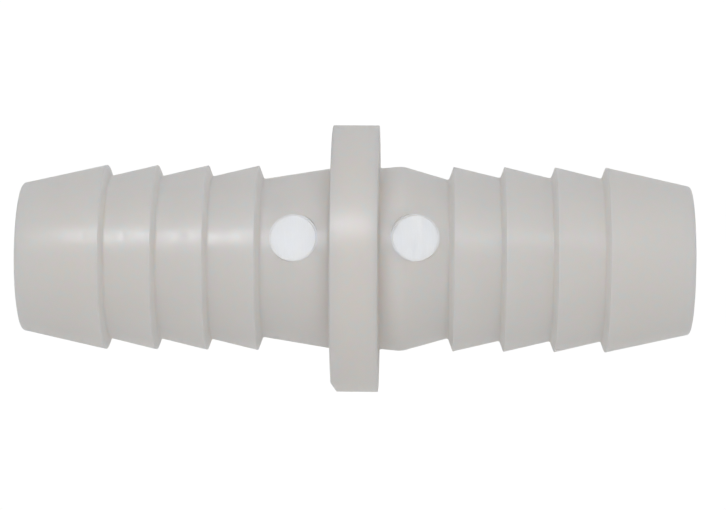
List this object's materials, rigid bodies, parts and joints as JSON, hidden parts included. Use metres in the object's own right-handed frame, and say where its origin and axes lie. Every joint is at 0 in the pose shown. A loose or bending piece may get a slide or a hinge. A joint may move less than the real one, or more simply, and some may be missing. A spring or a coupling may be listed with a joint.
{
  "type": "barbed hose joiner",
  "caption": "Straight barbed hose joiner moulded in one piece from natural off-white plastic: barbed tails either side of a round stop collar, with a bore straight through.",
  "frame": {"origin": "middle of the collar, on the axis of the through bore", "axes": "+X along the bore towards the tail whose neck swells beside the collar, +Z the way the two round ejector pads face, +Y completes the right-handed frame; the mould parting plane is the XY plane"},
  "size_m": [0.075, 0.03, 0.03],
  "materials": {
    "natural_plastic": "unpigmented off-white translucent moulded plastic, satin, with two brighter ground ejector pads"
  },
  "bodies": {
    "root": {"hose_joiner": "natural_plastic"}
  },
  "joints": []
}
